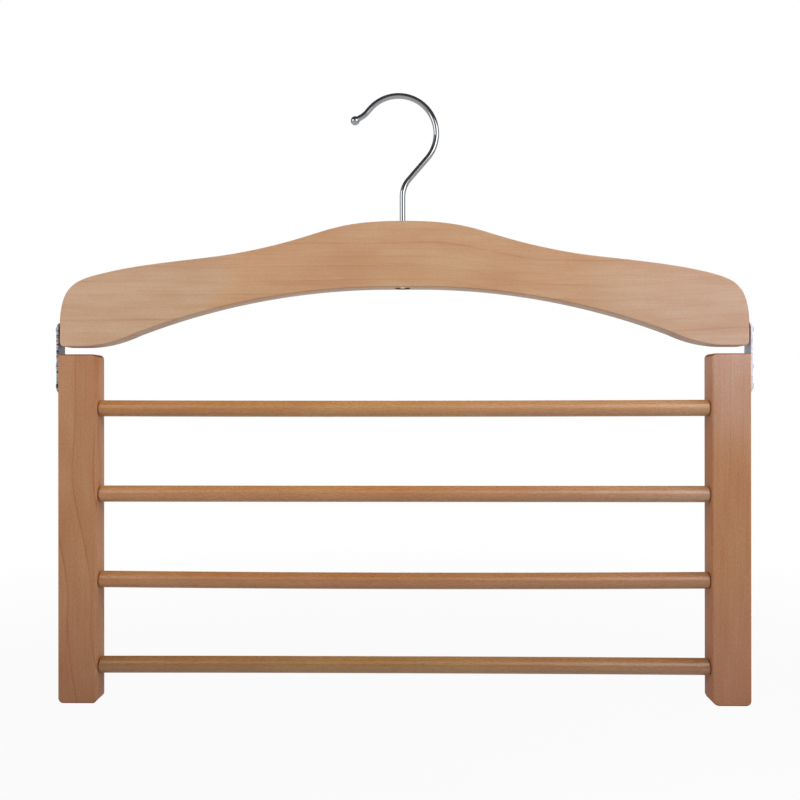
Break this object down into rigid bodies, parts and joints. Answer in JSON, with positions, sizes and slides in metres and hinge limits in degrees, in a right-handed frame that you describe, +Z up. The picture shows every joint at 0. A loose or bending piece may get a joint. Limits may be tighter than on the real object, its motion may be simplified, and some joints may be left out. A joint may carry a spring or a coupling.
{
  "type": "wooden clothes hanger",
  "caption": "Wooden clothes hanger: an arched yoke on a swivelling wire hook, with a ladder of round bars that swings under it for folded trousers.",
  "frame": {"origin": "where a rail carries the hook: the inner side of the crook's crown, straight above the shank", "axes": "+X along the yoke, with the crook's open side towards -X; +Y from the front to the back; +Z up"},
  "size_m": [0.4492, 0.014, 0.3929],
  "materials": {
    "hook_chrome": "polished chrome plate on steel wire",
    "zinc_plate": "bright zinc plate on steel",
    "yoke_beech": "satin clear lacquer on pale beech",
    "upright_beech": "satin clear lacquer on beech",
    "bar_beech": "satin clear lacquer on turned beech"
  },
  "bodies": {
    "hook": {"hook_wire": "hook_chrome", "hook_washer": "zinc_plate", "hook_lock_nut": "zinc_plate"},
    "yoke": {"yoke": "yoke_beech", "left_spacer_washer": "zinc_plate", "right_spacer_washer": "zinc_plate", "left_pivot_screw": "zinc_plate", "right_pivot_screw": "zinc_plate"},
    "rack": {"left_link_strap": "zinc_plate", "right_link_strap": "zinc_plate", "left_upper_fixing_screw": "zinc_plate", "left_lower_fixing_screw": "zinc_plate", "right_upper_fixing_screw": "zinc_plate", "right_lower_fixing_screw": "zinc_plate", "left_upright": "upright_beech", "right_upright": "upright_beech", "rack_bar_1": "bar_beech", "rack_bar_2": "bar_beech", "rack_bar_3": "bar_beech", "rack_bar_4": "bar_beech"}
  },
  "joints": [
    {"name": "hook_swivel", "type": "hinge", "parent": "hook", "child": "yoke", "pos_m": [0, 0, -0.0803], "axis": [0, 0, 1], "continuous": true},
    {"name": "rack_swing", "type": "hinge", "parent": "yoke", "child": "rack", "pos_m": [0, 0, -0.1493], "axis": [1, 0, 0], "range_deg": [-130, 130]}
  ]
}
